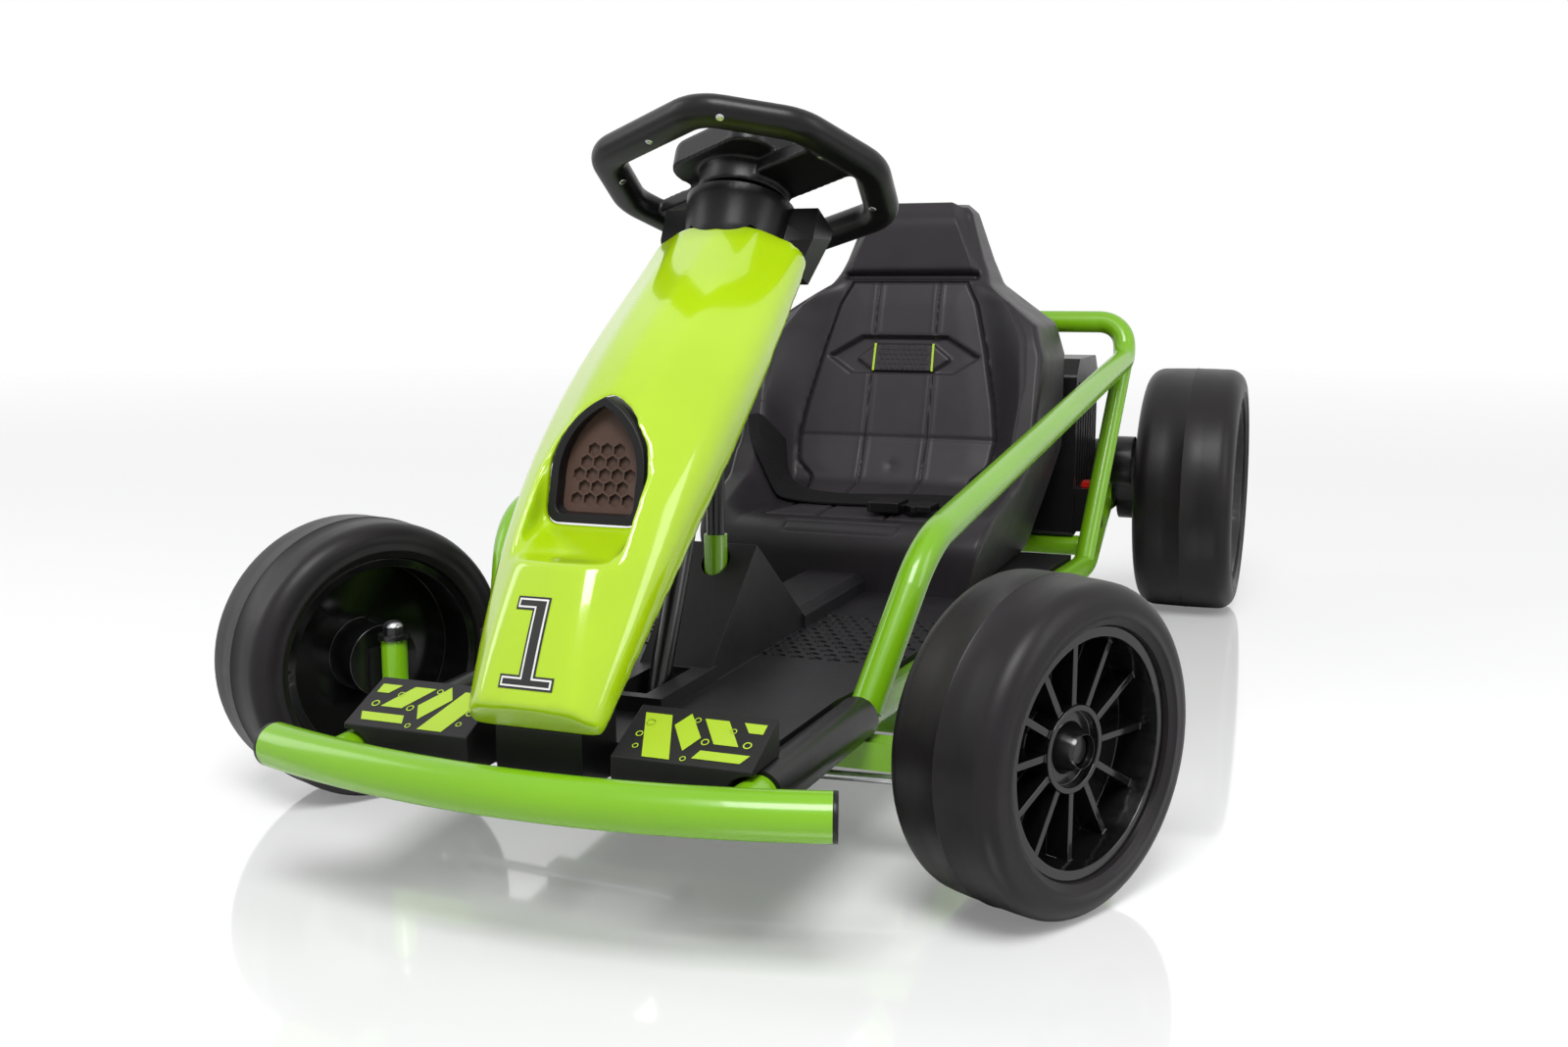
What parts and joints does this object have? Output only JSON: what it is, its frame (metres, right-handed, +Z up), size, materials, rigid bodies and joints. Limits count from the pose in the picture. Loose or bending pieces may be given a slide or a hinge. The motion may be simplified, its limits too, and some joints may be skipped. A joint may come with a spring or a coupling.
{
  "type": "electric drift kart",
  "caption": "Child's electric drift kart with a tubular frame, tall nose cone, bucket seat, slick tyres and steered front wheels.",
  "frame": {"origin": "on the ground under the centre of the bounding box", "axes": "+X to the driver's left, -Y forwards, +Z up"},
  "size_m": [0.7242, 1.372, 0.5383],
  "materials": {
    "lime_frame": "gloss",
    "lime_nose": "gloss",
    "black_plastic": "satin",
    "black_metal": "satin",
    "zinc_steel": "zinc plated",
    "tyre": "satin",
    "rim": "satin",
    "seat_plastic": "satin",
    "seat_cover": "grained",
    "webbing": "woven",
    "battery_case": "matt",
    "red_switch": "gloss",
    "mesh": "satin"
  },
  "bodies": {
    "chassis": {"rail_left": "lime_frame", "rail_right": "lime_frame", "rail_sleeves": "black_plastic", "side_tube_left": "lime_frame", "side_tube_right": "lime_frame", "rear_hoop": "lime_frame", "brace_left": "lime_frame", "brace_right": "lime_frame", "bumper": "lime_frame", "bumper_caps": "black_plastic", "front_beam": "lime_frame", "mid_beam": "lime_frame", "rear_frame": "lime_frame", "floor_pan": "black_plastic", "footrests": "black_plastic", "pedal": "black_plastic", "column_post": "black_metal", "column_shroud": "black_plastic", "nose_cone": "lime_nose", "scoop_bezel": "black_plastic", "scoop_mesh": "mesh", "nose_bracket": "black_plastic", "seat_shell": "seat_plastic", "seat_pad": "seat_cover", "seat_vent": "black_plastic", "seat_belt": "webbing", "belt_buckle": "black_plastic", "battery": "battery_case", "rear_cover": "black_plastic", "switch_box": "black_plastic", "power_switch": "red_switch", "rear_axle": "zinc_steel", "gearboxes": "black_plastic"},
    "steering": {"steering_wheel": "black_plastic", "steering_pad": "black_plastic", "steering_shaft": "black_metal"},
    "knuckle_left": {"knuckle_left": "black_metal"},
    "tie_rod_left": {"tie_rod_left": "zinc_steel"},
    "front_wheel_left": {"tyre_front_left": "tyre", "rim_front_left": "rim"},
    "rear_wheel_left": {"tyre_rear_left": "tyre", "rim_rear_left": "rim"},
    "knuckle_right": {"knuckle_right": "black_metal"},
    "tie_rod_right": {"tie_rod_right": "zinc_steel"},
    "front_wheel_right": {"tyre_front_right": "tyre", "rim_front_right": "rim"},
    "rear_wheel_right": {"tyre_rear_right": "tyre", "rim_rear_right": "rim"}
  },
  "joints": [
    {"name": "steering_turn", "type": "hinge", "parent": "chassis", "child": "steering", "pos_m": [0, -0.287, 0.499], "axis": [0, 0.4226, 0.9063], "range_deg": [-4, 56]},
    {"name": "knuckle_left_steer", "type": "hinge", "parent": "chassis", "child": "knuckle_left", "pos_m": [0.235, -0.449, 0.11], "axis": [0, 0, 1], "range_deg": [-4, 56]},
    {"name": "tie_rod_left_swing", "type": "hinge", "parent": "knuckle_left", "child": "tie_rod_left", "pos_m": [0.25254, -0.41305, 0.055], "axis": [0, 0, 1], "range_deg": [-56, 4]},
    {"name": "front_wheel_left_spin", "type": "hinge", "parent": "knuckle_left", "child": "front_wheel_left", "pos_m": [0.27994, -0.47092, 0.11], "axis": [0.8988, -0.4384, 0], "continuous": true},
    {"name": "rear_wheel_left_spin", "type": "hinge", "parent": "chassis", "child": "rear_wheel_left", "pos_m": [0.27, 0.536, 0.15], "axis": [1, 0, 0], "continuous": true},
    {"name": "knuckle_right_steer", "type": "hinge", "parent": "chassis", "child": "knuckle_right", "pos_m": [-0.235, -0.449, 0.11], "axis": [0, 0, 1], "range_deg": [-4, 56]},
    {"name": "tie_rod_right_swing", "type": "hinge", "parent": "knuckle_right", "child": "tie_rod_right", "pos_m": [-0.21746, -0.41305, 0.055], "axis": [0, 0, 1], "range_deg": [-56, 4]},
    {"name": "front_wheel_right_spin", "type": "hinge", "parent": "knuckle_right", "child": "front_wheel_right", "pos_m": [-0.27994, -0.42708, 0.11], "axis": [0.8988, -0.4384, 0], "continuous": true},
    {"name": "rear_wheel_right_spin", "type": "hinge", "parent": "chassis", "child": "rear_wheel_right", "pos_m": [-0.27, 0.536, 0.15], "axis": [1, 0, 0], "continuous": true}
  ],
  "couplings": [
    {"joint": "knuckle_left_steer", "follows": "steering_turn", "ratio": 1},
    {"joint": "tie_rod_left_swing", "follows": "steering_turn", "ratio": -1},
    {"joint": "knuckle_right_steer", "follows": "steering_turn", "ratio": 1},
    {"joint": "tie_rod_right_swing", "follows": "steering_turn", "ratio": -1}
  ]
}
